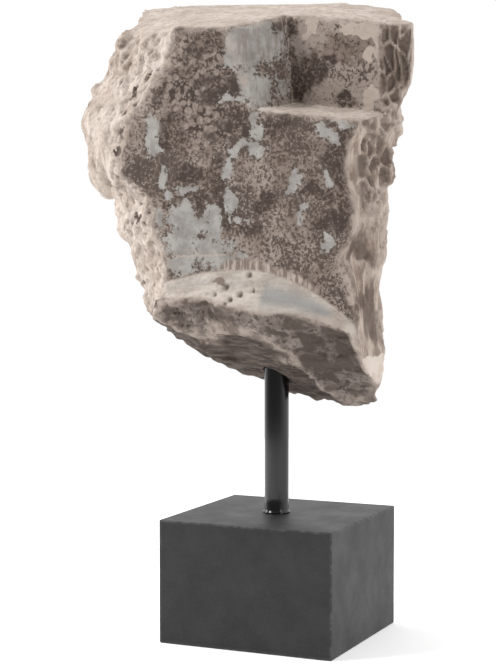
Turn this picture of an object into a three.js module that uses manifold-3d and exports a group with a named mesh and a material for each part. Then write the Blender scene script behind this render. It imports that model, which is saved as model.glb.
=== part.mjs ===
// A fragment of a colossal stone head, sawn and broken off behind the face, on a round rod and a block.
// Millimetres, +Z up. The origin is the middle of the block's underside. The carved face looks along -Y,
// its left side is +X, and the sawn reverse, with its step and its lip, looks along +Y.
import * as THREE from 'three';
import { mergeVertices } from 'three/addons/utils/BufferGeometryUtils.js';
import Module from 'manifold-3d';

const wasm = await Module();
wasm.setup();

// Block and rod
const BLOCK_WIDTH = 186;
const BLOCK_DEPTH = 181;
const BLOCK_HEIGHT = 125;
const BLOCK_EDGE = 1.5;
const ROD_RADIUS = 12.5;
const ROD_X = 3.5;
const ROD_TOP = 305;
const ROD_SIDES = 32;
const FOOT_BEAD = 1.6;
const GAP = 0.3;

// Head, twice life size, leaning a little to its left
const LIFE = 2;
const HEAD_TILT = THREE.MathUtils.degToRad(5.7);
const CHIN_X = 12;
const CHIN_Z = 330;
const FACE_THIRD = 65 * LIFE;
const NOSE_BASE = FACE_THIRD;
const BROW = 2 * FACE_THIRD;
const EYE_LINE = BROW - 16 * LIFE;
const EYE_SPREAD = 31 * LIFE;
const MOUTH_LINE = NOSE_BASE - 21.5 * LIFE;
const MOUTH_HALF = 24 * LIFE;
const NOSE_REACH = 23 * LIFE;
const FRINGE_LINE = BROW + 17 * LIFE;
const LOCK_WIDTH = 31;

// Left ear, and rounded masses given as centre and radii in the face's axes
const EAR_V = 208;
const EAR_W = 4;
const EAR_REACH = 188;
const EAR_HALF_HEIGHT = 58;
const EAR_HALF_WIDTH = 29;
const EAR_RIM = 8;
const EAR_SHELL = [[160, EAR_V, EAR_W], [34, 66, 44]];
const EAR_HOLLOW = [[EAR_REACH + 8, EAR_V - 4, EAR_W + 4], [24, 36, 17]];
const EAR_LOBE = [[171, EAR_V - 56, EAR_W - 4], [16, 18, 18]];
const NAPE_LOCKS = [[[141, 114, -10], [26, 32, 36]], [[129, 72, -14], [22, 38, 32]]];
const TEMPLE_HAIR = [[-158, 264, -24], [30, 80, 45]];

// Reverse of the stone: a sawn plane, a lip below it, a step cut out of its upper corner
const BACK_Y = 70;
const TOP_Z = 615;
const TOP_SLOPE = 0.285;
const TOP_BOW = 0.00035;
const LIP_RIDGE_Z = 375;
const LIP_SLOPE = 0.62;
const LIP_CREST_X = 10;
const LIP_SHARE = 1 / 3;
const UNDER_RISE = 84;
const STEP_FLOOR_Z = 541;
const STEP_FALL = 0.17;
const STEP_DIP = 0.12;
const STEP_FLARE = 0.15;
const STEP_BACK_Y = 15;
const STEP_CORNER_X = -14;
const STEP_MOUTH_X = 24;
const ROUGHNESS = 3;

// Sampling of the stone
const COLUMNS = 66;
const TURNS = [[0, -180], [2, -118], [7, -60], [10, -46], [50, 46], [59, 80], [64, 118], [COLUMNS, 180]];
const ROWS = 58;
const HEIGHTS = [[0, -112], [4, -20], [8, 2], [15, 54], [26, 106], [36, 198], [48, 250], [55, 298],
  [ROWS, 336]];
const AXIS_Y = 10;

const clamp = (value, low, high) => Math.min(high, Math.max(low, value));
const bell = (distance, width) => Math.exp(-((distance / width) ** 2));
const smoothstep = (low, high, value) => {
  const t = clamp((value - low) / (high - low), 0, 1);
  return t * t * (3 - 2 * t);
};

// Smooth curve through pairs of [position, value], level beyond its ends
function along(points, position) {
  const last = points.length - 1;
  const at = clamp(position, points[0][0], points[last][0]);
  const i = Math.max(1, points.findIndex(([end]) => at <= end));
  const slope = (k) => (k === 0 || k === last ? 0
    : (points[k + 1][1] - points[k - 1][1]) / (points[k + 1][0] - points[k - 1][0]));
  const [p0, v0] = points[i - 1];
  const [p1, v1] = points[i];
  const span = p1 - p0;
  const t = (at - p0) / span;
  return v0 + (v1 - v0) * t * t * (3 - 2 * t)
    + span * t * (1 - t) * (slope(i - 1) * (1 - t) - slope(i) * t);
}

// Crossed waves of about -1 to 1 that stand for a broken surface of the given grain
function broken(x, y, z, grain) {
  const k = (2 * Math.PI) / grain;
  const a = Math.sin(k * (x + 0.6 * y) + 2.1 * Math.sin(k * 0.47 * (z - y)));
  const b = Math.cos(k * 0.83 * (z + 0.3 * x) + 1.7 * Math.sin(k * 0.39 * (x + y)));
  const c = Math.sin(k * 1.71 * (z - 0.4 * x + 0.5 * y) + 1.3 * Math.sin(k * 0.91 * (x + z)));
  return 0.65 * a * b + 0.35 * c;
}

// Half width, depth of the front and squareness of the head against the height above the chin
const HALF_WIDTH = [[-20, 84], [0, 92], [40, 113], [90, 129], [150, 137], [230, 142], [320, 148]];
const FRONT_DEPTH = [[-20, 100], [0, 108], [22, 112], [50, 108], [90, 117], [130, 120], [200, 119],
  [262, 126], [300, 128], [345, 118]];
const SQUARENESS = [[0, 1.65], [60, 1.9], [130, 2.15], [250, 2.4]];
const NECK_HALF = [[10, 130], [60, 136]];
const BACK_DEPTH = 150;
const JAW_SLOPE = 0.62;

// Signed distance to an upright superellipse around the head's axis, negative inside
function oval(u, w, halfWidth, front, back, power) {
  const depth = w > 0 ? front : back;
  const q = ((Math.abs(u) / halfWidth) ** power + (Math.abs(w) / depth) ** power) ** (1 / power);
  return (q - 1) * Math.min(halfWidth, depth);
}

function ellipsoid(u, v, w, centre, radii) {
  const q = Math.hypot((u - centre[0]) / radii[0], (v - centre[1]) / radii[1], (w - centre[2]) / radii[2]);
  return (q - 1) * Math.min(...radii);
}

function blend(a, b, radius) {
  const h = clamp(0.5 + (0.5 * (b - a)) / radius, 0, 1);
  return b + (a - b) * h - radius * h * (1 - h);
}

const cut = (a, b, radius) => -blend(-a, -b, radius);

// Relief of the features, as a height added to the front of the face
function features(u, v) {
  const side = Math.abs(u);
  const eye = side - EYE_SPREAD;
  const eyeDown = v - EYE_LINE;
  const noseHalf = along([[NOSE_BASE, 32], [NOSE_BASE + 26, 29], [NOSE_BASE + 50, 21], [BROW, 15]], v);
  const noseRise = along([[NOSE_BASE - 5, 0], [NOSE_BASE + 9, NOSE_REACH], [NOSE_BASE + 24, NOSE_REACH - 1],
    [EYE_LINE + 4, 9], [BROW + 10, 0]], v);
  const browLine = BROW - 8 + 13 * Math.sin((Math.PI * clamp(side - 8, 0, 112)) / 112);
  const opening = clamp(1 - (eye / 32) ** 2, 0, 1);
  const mouth = clamp(1 - (u / MOUTH_HALF) ** 2, 0, 1);
  let rise = noseRise * (1 - smoothstep(noseHalf * 0.2, noseHalf * 1.2, side));
  rise += 11 * bell(side - 26, 10) * bell(v - NOSE_BASE - 13, 12);
  rise += 9 * bell(v - browLine, 11) * smoothstep(6, 24, side) * (1 - smoothstep(92, 122, side));
  rise -= 19 * bell(eye, 35) * bell(eyeDown - 8, 17);
  rise -= 9 * bell(side - 29, 12) * bell(eyeDown - 8, 15);
  rise += 13 * Math.sqrt(clamp(1 - (eye / 33) ** 2 - (eyeDown / 19) ** 2, 0, 1));
  rise += 5 * opening * bell(eyeDown - 13 * opening, 4.5);
  rise += 2.5 * opening * bell(eyeDown + 12 * opening, 4.5);
  rise += 9 * bell(side - 86, 30) * bell(eyeDown + 46, 26);
  rise -= 6 * bell(side - 84, 28) * bell(v - MOUTH_LINE - 12, 34);
  rise += 6 * bell(u, 44) * bell(v - MOUTH_LINE, 27);
  rise += 7 * mouth * bell(v - MOUTH_LINE - 9 - 2 * bell(side - 10, 8), 6);
  rise += 8 * mouth * bell(v - MOUTH_LINE + 10, 6.5);
  rise -= 6 * (1 - smoothstep(0.75, 1.15, side / MOUTH_HALF)) * bell(v - MOUTH_LINE, 4);
  rise -= 4 * bell(side - MOUTH_HALF, 7) * bell(v - MOUTH_LINE, 8);
  rise -= 7 * bell(u, 34) * bell(v - MOUTH_LINE + 29, 9);
  rise += 10 * bell(u, 30) * bell(v - 28, 19);
  return rise;
}

// Curved locks of hair: a fringe over the forehead and locks before the ear
function hair(u, v, w) {
  const angle = Math.atan2(Math.abs(u), w);
  const arc = angle * 135;
  const line = along([[0, FRINGE_LINE], [115, FRINGE_LINE - 4], [160, BROW - 50], [200, NOSE_BASE + 10],
    [235, NOSE_BASE - 20]], arc);
  const above = clamp(v - line, -20, 60);
  const phase = (Math.sign(u) * arc + 0.35 * above) / LOCK_WIDTH + 0.25;
  const lock = Math.abs(Math.sin(Math.PI * phase));
  const tip = above + 12 * lock;
  return smoothstep(0, 14, tip) * (5 + 7 * lock);
}

// The whole uncut head and neck, negative inside, in the face's own axes
function head(u, v, w) {
  const forward = w + AXIS_Y;
  const mass = oval(u, forward, along(HALF_WIDTH, v), along(FRONT_DEPTH, v) + AXIS_Y, BACK_DEPTH,
    along(SQUARENESS, v));
  const jaw = cut(mass, JAW_SLOPE * (96 - w) - v, 14);
  const neck = oval(u - 1, w + 20, along(NECK_HALF, v), 72 + 0.12 * v, BACK_DEPTH, 2.2);
  const front = smoothstep(10, 60, w);
  const surface = blend(jaw, neck, 16) - front * features(u, v) - hair(u, v, w);
  return blend(surface, ellipsoid(u, v, w, TEMPLE_HAIR[0], TEMPLE_HAIR[1]), 14);
}

// Face axes: u to the head's left, v up from the chin, w forward
function toWorld(u, v, w) {
  const cos = Math.cos(HEAD_TILT);
  const sin = Math.sin(HEAD_TILT);
  return [CHIN_X + u * cos + v * sin, -w, CHIN_Z + v * cos - u * sin];
}

// Walks in from outside along a level ray until the head is met
function reach(angle, v) {
  const at = (r) => head(r * Math.sin(angle), v, r * Math.cos(angle) - AXIS_Y);
  let outer = 260;
  while (outer > 20 && at(outer) > 0) outer -= 4;
  let inner = outer;
  outer += 4;
  for (let i = 0; i < 12; i += 1) {
    const middle = (inner + outer) / 2;
    if (at(middle) > 0) outer = middle;
    else inner = middle;
  }
  return inner;
}

function bare(geometry) {
  geometry.deleteAttribute('normal');
  geometry.deleteAttribute('uv');
  return mergeVertices(geometry, 1e-4);
}

// Six times the signed volume of a closed mesh, negative where its faces point inwards
function signedVolume(geometry) {
  const corners = [new THREE.Vector3(), new THREE.Vector3(), new THREE.Vector3()];
  const index = geometry.index.array;
  let sum = 0;
  for (let i = 0; i < index.length; i += 3) {
    corners.forEach((corner, k) => corner.fromBufferAttribute(geometry.attributes.position, index[i + k]));
    sum += corners[0].dot(corners[1].cross(corners[2]));
  }
  return sum;
}

function solid(geometry) {
  const plain = bare(geometry);
  const triVerts = new Uint32Array(plain.index.array);
  if (signedVolume(plain) < 0) triVerts.reverse();
  const vertProperties = new Float32Array(plain.attributes.position.array);
  return new wasm.Manifold(new wasm.Mesh({ numProp: 3, vertProperties, triVerts }));
}

function geometryOf(manifold) {
  const { vertProperties, triVerts } = manifold.getMesh();
  const geometry = new THREE.BufferGeometry();
  geometry.setAttribute('position', new THREE.BufferAttribute(new Float32Array(vertProperties), 3));
  geometry.setIndex(new THREE.BufferAttribute(new Uint32Array(triVerts), 1));
  return geometry;
}

// Straight interpolation through pairs of [position, value]
function spread(points, position) {
  const i = Math.max(1, points.findIndex(([end]) => position <= end + 1e-4));
  const [p0, v0] = points[i - 1];
  const [p1, v1] = points[i];
  return v0 + ((v1 - v0) * (position - p0)) / (p1 - p0);
}

// A cylinder whose wall is drawn onto the head, with closer columns and rows over the face
function headCore() {
  const geometry = bare(new THREE.CylinderGeometry(1, 1, 1, COLUMNS, ROWS));
  const position = geometry.attributes.position;
  for (let i = 0; i < position.count; i += 1) {
    const turn = Math.atan2(position.getX(i), position.getZ(i)) / (2 * Math.PI) + 0.5;
    const angle = THREE.MathUtils.degToRad(spread(TURNS, turn * COLUMNS));
    const radial = Math.hypot(position.getX(i), position.getZ(i)) > 0.5;
    const v = spread(HEIGHTS, (position.getY(i) + 0.5) * ROWS);
    const r = radial ? reach(angle, v) : 0;
    position.setXYZ(i, ...toWorld(r * Math.sin(angle), v, r * Math.cos(angle) - AXIS_Y));
  }
  return solid(geometry);
}

function lump([centre, radii], columns, rows) {
  const geometry = bare(new THREE.SphereGeometry(1, columns, rows));
  const position = geometry.attributes.position;
  for (let i = 0; i < position.count; i += 1) {
    const [u, v, w] = [position.getX(i), position.getY(i), position.getZ(i)].map((n, k) => centre[k] + n * radii[k]);
    position.setXYZ(i, ...toWorld(u, v, w));
  }
  return solid(geometry);
}

// Rim of the ear: a ring drawn out to an oval that leans in at its top and at its front
function earRim() {
  const geometry = bare(new THREE.TorusGeometry(1, 0.25, 7, 26));
  const position = geometry.attributes.position;
  for (let i = 0; i < position.count; i += 1) {
    const around = Math.atan2(position.getY(i), position.getX(i));
    const outward = (Math.hypot(position.getX(i), position.getY(i)) - 1) / 0.25;
    const back = Math.cos(around) * (EAR_HALF_WIDTH + EAR_RIM * outward);
    const high = Math.sin(around) * (EAR_HALF_HEIGHT + EAR_RIM * outward);
    const edge = EAR_REACH - 0.22 * back + 0.1 * high - 0.008 * Math.max(0, high) ** 2;
    const u = edge + (EAR_RIM * position.getZ(i)) / 0.25;
    position.setXYZ(i, ...toWorld(u, EAR_V + high, EAR_W + back));
  }
  return solid(geometry);
}

// A box whose low side along one axis is drawn onto a surface, to cut away all that lies beyond it.
// The place function gives the point of the surface, or of the far side, for two fractions of 0 to 1.
function cutter(countA, countB, place) {
  const geometry = bare(new THREE.BoxGeometry(1, 1, 1, countA, countB, 1));
  const position = geometry.attributes.position;
  for (let i = 0; i < position.count; i += 1) {
    const far = position.getZ(i) < 0;
    position.setXYZ(i, ...place(position.getX(i) + 0.5, position.getY(i) + 0.5, far));
  }
  return solid(geometry);
}

const between = (low, high, t) => low + (high - low) * t;

// Sawn reverse with the lip that swells out below its ridge
function reverseCut() {
  return cutter(14, 18, (a, b, far) => {
    const x = between(240, -200, a);
    const ridge = LIP_RIDGE_Z - (x > LIP_CREST_X ? 0.0018 : 0.0037) * (x - LIP_CREST_X) ** 2;
    const rise = spread([[0, -230], [LIP_SHARE, 0], [1, 400]], b);
    const y = BACK_Y + LIP_SLOPE * Math.max(0, -rise) + 0.4 * broken(x, 0, rise, 60);
    return [x, far ? 260 : y, ridge + rise];
  });
}

// Broken left flank, from the edge of the sawn plane forward to the ear and the neck
const FLANK_EDGE = [[300, 108], [338, 104], [380, 97], [418, 112], [446, 114], [472, 148], [502, 146],
  [533, 134], [556, 112], [584, 93], [640, 90]];
const FLANK_SLOPE = [[323, 1.2], [360, 1.0], [430, 0.8], [480, 0.9], [520, 0.68], [620, 0.66]];
const FLANK_TURN = [[560, 246], [575, 223], [586, 205], [600, 192], [616, 176], [632, 158]];
function flankCut() {
  return cutter(12, 30, (a, b, far) => {
    const x = between(250, 74, a);
    const z = between(200, 700, b);
    const slant = BACK_Y - along(FLANK_SLOPE, z) * (x - along(FLANK_EDGE, z));
    const y = slant - 2.6 * Math.max(0, x - along(FLANK_TURN, z));
    return [x, far ? 320 : y + ROUGHNESS * broken(x, 20, z, 34), z];
  });
}

// Sawn top, rising towards the face and a little warped
function topCut() {
  return cutter(12, 8, (a, b, far) => {
    const x = between(-240, 260, a);
    const y = between(-240, 140, b);
    const depth = BACK_Y - y;
    const rise = (TOP_SLOPE + 0.0003 * Math.max(0, x - 20)) * depth - TOP_BOW * depth * depth;
    const left = 0.22 * Math.max(0, x - 90) * smoothstep(-60, 60, y);
    const right = 0.1 * Math.max(0, -x - 16) + 0.0004 * Math.max(0, -x - 20) ** 2;
    return [x, y, far ? 800 : TOP_Z + rise - left - right + 0.5 * broken(x, y, 0, 45)];
  });
}

// Broken right flank, scalloped by old flaking
const RIGHT_EDGE = [[300, 112], [335, 108], [362, 102], [388, 95], [412, 105], [428, 109], [472, 101],
  [494, 104], [516, 113], [620, 111]];
const RIGHT_REACH = [[245, 106], [265, 111], [335, 111], [355, 110], [370, 114], [395, 115], [427, 112],
  [455, 117], [499, 118], [532, 131], [552, 141], [578, 143], [630, 143]];
function rightCut() {
  return cutter(9, 28, (a, b, far) => {
    const y = between(-60, 130, a);
    const z = between(200, 700, b);
    const high = smoothstep(505, 545, z);
    const start = between(BACK_Y, STEP_BACK_Y, high);
    const turn = smoothstep(0, 1, (start - y) / between(72, 22, high));
    const x = -between(along(RIGHT_EDGE, z), along(RIGHT_REACH, z), turn);
    return [far ? -330 : x - 2.4 * Math.abs(broken(40, y, z, 40)) + 1, y, z];
  });
}

// Broken underside: steep below the lip, flatter under the neck, higher towards the left
const UNDER_FAR = [[-122, 250], [-100, 238], [-80, 233], [-45, 230], [10, 243], [45, 255], [85, 272],
  [112, 284], [130, 293], [150, 304], [185, 316]];
function underCut() {
  return cutter(15, 12, (a, b, far) => {
    const x = between(-220, 260, a);
    const y = between(-230, 230, b);
    const rise = UNDER_RISE * (Math.max(0, y + 50) / 145) ** 1.6;
    const z = along(UNDER_FAR, x) + rise + 2 * broken(x, y, 30, 42);
    return [x, y, far ? 90 : z];
  });
}

// The step: an upright slanting wall, an upright back wall and a floor that falls to the edge
function stepCut() {
  const outline = new THREE.Shape();
  outline.moveTo(STEP_MOUTH_X + 18, BACK_Y + 20);
  outline.lineTo(STEP_MOUTH_X, BACK_Y);
  outline.quadraticCurveTo(STEP_CORNER_X + 6, STEP_BACK_Y + 28, STEP_CORNER_X, STEP_BACK_Y);
  outline.lineTo(-240, STEP_BACK_Y);
  outline.lineTo(-240, BACK_Y + 60);
  outline.lineTo(STEP_MOUTH_X + 18, BACK_Y + 60);
  const geometry = new THREE.ExtrudeGeometry(outline, { depth: 160, bevelEnabled: false, curveSegments: 6 });
  const position = geometry.attributes.position;
  for (let i = 0; i < position.count; i += 1) {
    const x = position.getX(i);
    const flare = (STEP_FLARE * Math.max(0, x - STEP_CORNER_X)) / (STEP_MOUTH_X - STEP_CORNER_X);
    const dip = STEP_DIP * (x - STEP_CORNER_X) - STEP_FALL * (position.getY(i) - STEP_BACK_Y);
    if (position.getZ(i) > 1) position.setX(i, x + flare * position.getZ(i));
    else position.setZ(i, dip);
  }
  geometry.translate(0, 0, STEP_FLOOR_Z);
  return solid(geometry);
}

function rodSocket() {
  const radius = ROD_RADIUS + GAP;
  const geometry = new THREE.CylinderGeometry(radius, radius, 200, ROD_SIDES);
  geometry.rotateX(Math.PI / 2);
  geometry.translate(ROD_X, 0, ROD_TOP + GAP - 100);
  return solid(geometry);
}

function stone() {
  const ear = lump(EAR_SHELL, 16, 10).add(earRim()).subtract(lump(EAR_HOLLOW, 16, 8)).add(lump(EAR_LOBE, 12, 8));
  const whole = NAPE_LOCKS.reduce((body, lock) => body.add(lump(lock, 16, 10)), headCore().add(ear));
  const cuts = [reverseCut(), flankCut(), topCut(), rightCut(), underCut(), stepCut(), rodSocket()];
  return geometryOf(cuts.reduce((body, tool) => body.subtract(tool), whole));
}

// Rod with a thin bead of lacquer where it meets the block
function rod() {
  const foot = BLOCK_HEIGHT + GAP;
  const profile = [[0, foot], [ROD_RADIUS + FOOT_BEAD, foot], [ROD_RADIUS + 0.5 * FOOT_BEAD, foot + 1.2],
    [ROD_RADIUS, foot + 2.4], [ROD_RADIUS, ROD_TOP], [0, ROD_TOP]].map(([r, z]) => new THREE.Vector2(r, z));
  const geometry = new THREE.LatheGeometry(profile, ROD_SIDES);
  geometry.rotateX(Math.PI / 2);
  return geometry;
}

function block() {
  const half = [BLOCK_WIDTH / 2 - BLOCK_EDGE, BLOCK_DEPTH / 2 - BLOCK_EDGE];
  const outline = new THREE.Shape();
  outline.moveTo(-half[0], -half[1]);
  outline.lineTo(half[0], -half[1]);
  outline.lineTo(half[0], half[1]);
  outline.lineTo(-half[0], half[1]);
  const geometry = new THREE.ExtrudeGeometry(outline, {
    depth: BLOCK_HEIGHT - 2 * BLOCK_EDGE,
    bevelThickness: BLOCK_EDGE,
    bevelSize: BLOCK_EDGE,
    bevelSegments: 3,
  });
  geometry.translate(0, 0, BLOCK_EDGE);
  return geometry;
}

function part(name, geometry, colour, roughness, metalness) {
  const material = new THREE.MeshStandardMaterial({ color: colour, roughness, metalness });
  const mesh = new THREE.Mesh(geometry, material);
  mesh.name = name;
  return mesh;
}

const group = new THREE.Group();
const stoneMesh = part('bust_fragment', stone(), 0xb5a99d, 0.85, 0);
const rodMesh = part('support_rod', rod(), 0x141517, 0.2, 0.3);
rodMesh.position.set(ROD_X, 0, 0);
const blockMesh = part('plinth_block', block(), 0x2f3033, 0.75, 0);
group.add(stoneMesh, rodMesh, blockMesh);

export default group;
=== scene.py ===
"""Looks of the colossal head fragment on its rod and block, in metres, in the CAD frame."""

import itertools
import math

import bmesh
import bpy
import numpy as np
from mathutils import Matrix, Vector


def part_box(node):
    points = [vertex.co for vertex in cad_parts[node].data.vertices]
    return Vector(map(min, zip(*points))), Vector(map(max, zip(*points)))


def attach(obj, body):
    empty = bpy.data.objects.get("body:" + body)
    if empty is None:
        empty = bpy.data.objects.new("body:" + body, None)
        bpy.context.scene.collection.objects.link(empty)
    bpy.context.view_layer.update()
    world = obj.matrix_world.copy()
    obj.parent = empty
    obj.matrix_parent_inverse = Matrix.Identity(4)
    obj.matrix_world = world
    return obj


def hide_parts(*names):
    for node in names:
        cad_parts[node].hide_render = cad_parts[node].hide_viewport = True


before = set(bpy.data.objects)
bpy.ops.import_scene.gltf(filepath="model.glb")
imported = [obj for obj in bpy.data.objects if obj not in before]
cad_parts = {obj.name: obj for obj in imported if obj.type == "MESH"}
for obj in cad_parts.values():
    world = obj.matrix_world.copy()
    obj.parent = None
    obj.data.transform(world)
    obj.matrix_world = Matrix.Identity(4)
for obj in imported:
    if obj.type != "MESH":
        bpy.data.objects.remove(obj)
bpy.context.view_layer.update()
scene = bpy.context.scene

# Head in its own axes, in millimetres: u to its left, v up from the chin, w forward
TILT = math.radians(5.7)
CHIN_X = 12
CHIN_Z = 330
NOSE_BASE = 130
BROW = 260
EYE_LINE = 228
EYE_SPREAD = 62
MOUTH_LINE = 87
MOUTH_HALF = 48
NOSE_REACH = 46
FRINGE_LINE = 294
LOCK_WIDTH = 31
AXIS_Y = 10
BACK_DEPTH = 150
HALF_WIDTH = [(-20, 84), (0, 92), (40, 113), (90, 129), (150, 137), (230, 142), (320, 148)]
FRONT_DEPTH = [(-20, 100), (0, 108), (22, 112), (50, 108), (90, 117), (130, 120), (200, 119), (262, 126),
               (300, 128), (345, 118)]
SQUARENESS = [(0, 1.65), (60, 1.9), (130, 2.15), (250, 2.4)]
NECK_HALF = [(10, 130), (60, 136)]
JAW_SLOPE = 0.62
EAR_V = 208
EAR_W = 4
EAR_REACH = 188

# Sawn and broken surfaces, in millimetres
BACK_Y = 70
TOP_Z = 615
LIP_RIDGE_Z = 375
LIP_SLOPE = 0.62
LIP_CREST_X = 10
STEP_FLOOR_Z = 541
STEP_BACK_Y = 15
STEP_CORNER_X = -14
STEP_MOUTH_X = 5
STEP_FLARE = 0.37
FLANK_EDGE = [(300, 108), (338, 104), (380, 97), (418, 112), (446, 114), (472, 148), (502, 146), (533, 134),
              (556, 112), (584, 93), (640, 90)]
FLANK_SLOPE = [(323, 1.2), (360, 1.0), (430, 0.8), (480, 0.9), (520, 0.68), (620, 0.66)]
FLANK_TURN = [(560, 246), (575, 223), (586, 205), (600, 192), (616, 176), (632, 158)]
RIGHT_EDGE = [(300, 112), (335, 108), (362, 102), (388, 95), (412, 105), (428, 109), (472, 101), (494, 104),
              (516, 113), (620, 111)]
RIGHT_REACH = [(245, 106), (265, 111), (335, 111), (355, 110), (370, 114), (395, 115), (427, 112), (455, 117),
               (499, 118), (532, 131), (552, 141), (578, 143), (630, 143)]
UNDER_FAR = [(-122, 250), (-100, 238), (-80, 233), (-45, 230), (10, 243), (45, 255), (85, 272), (112, 284),
             (130, 293), (150, 304), (185, 316)]
LIP_EDGE = [(-119, 299), (-103, 315), (-91, 323), (-81, 327), (-69, 330), (-58, 332), (-44, 334), (-17, 334),
            (8, 338), (28, 342), (49, 347), (74, 346), (96, 345), (108, 344)]
FACET_SLOPE = [(-100, 0.85), (-60, 0.95), (-38, 1.25), (40, 1.28), (100, 1.3)]
ROD_X = 3.5
ROD_HOLE = 13.1
ROD_TOP = 305.3
CELL = 2.15
GROWTH = 0.0034

rng = np.random.default_rng(11)
LATTICE = rng.random((64, 64, 64, 3), dtype=np.float32)


def smoothstep(low, high, value):
    t = np.clip((value - low) / (high - low), 0, 1)
    return t * t * (3 - 2 * t)


def bell(distance, width):
    return np.exp(-((distance / width) ** 2))


def along(points, position):
    """Smooth curve through pairs of position and value, level beyond its ends."""
    p = np.array([a for a, _ in points], np.float32)
    v = np.array([b for _, b in points], np.float32)
    slope = np.zeros_like(v)
    slope[1:-1] = (v[2:] - v[:-2]) / (p[2:] - p[:-2])
    at = np.clip(position, p[0], p[-1])
    i = np.clip(np.searchsorted(p, at, side="left"), 1, len(p) - 1)
    span = p[i] - p[i - 1]
    t = (at - p[i - 1]) / span
    eased = v[i - 1] + (v[i] - v[i - 1]) * t * t * (3 - 2 * t)
    return eased + span * t * (1 - t) * (slope[i - 1] * (1 - t) - slope[i] * t)


def blend(a, b, radius):
    h = np.clip(0.5 + 0.5 * (b - a) / radius, 0, 1)
    return b + (a - b) * h - radius * h * (1 - h)


def cut(a, b, radius):
    return -blend(-a, -b, radius)


def noise(p, grain, seed=0, stretch=(1, 1, 1)):
    """Smooth noise of about -1 to 1 at points in millimetres."""
    q = p / (grain * np.asarray(stretch, np.float32)) + np.float32(seed * 7.31 + 40)
    i = np.floor(q).astype(np.int32)
    f = q - i
    f = f * f * (3 - 2 * f)
    total = 0
    for corner in itertools.product((0, 1), repeat=3):
        c = (i + np.array(corner, np.int32)) & 63
        weight = np.prod(np.where(np.array(corner) == 1, f, 1 - f), axis=-1)
        total = total + weight * LATTICE[c[..., 0], c[..., 1], c[..., 2], seed % 3]
    return (total * 2 - 1) * 1.6


def rough(p, grain, octaves, seed=0, stretch=(1, 1, 1), gain=0.5):
    total, size = 0, 1.0
    for k in range(octaves):
        total = total + size * noise(p, grain / 2 ** k, seed + k, stretch)
        size *= gain
    return total


def cells(p, grain, stretch=(1, 1, 1), seed=0):
    """Distances to the nearest and second nearest of scattered points, in grains, and the nearest's tag."""
    q = p / (grain * np.asarray(stretch, np.float32)) + np.float32(seed * 5.17 + 40)
    base = np.floor(q).astype(np.int32)
    near = np.full(len(p), 9, np.float32)
    second = near.copy()
    tag = np.zeros(len(p), np.float32)
    for offset in itertools.product((-1, 0, 1), repeat=3):
        c = base + np.array(offset, np.int32)
        spot = LATTICE[c[:, 0] & 63, c[:, 1] & 63, c[:, 2] & 63]
        d = np.linalg.norm(c + spot - q, axis=1)
        closer = d < near
        second = np.where(closer, near, np.minimum(second, d))
        tag = np.where(closer, spot[:, 0], tag)
        near = np.where(closer, d, near)
    return near, second, tag


def oval(u, w, half, front, back, power):
    depth = np.where(w > 0, front, back)
    q = ((np.abs(u) / half) ** power + (np.abs(w) / depth) ** power) ** (1 / power)
    return (q - 1) * np.minimum(half, depth)


def ellipsoid(u, v, w, centre, radii):
    q = np.sqrt(((u - centre[0]) / radii[0]) ** 2 + ((v - centre[1]) / radii[1]) ** 2
                + ((w - centre[2]) / radii[2]) ** 2)
    return (q - 1) * min(radii)


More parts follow.
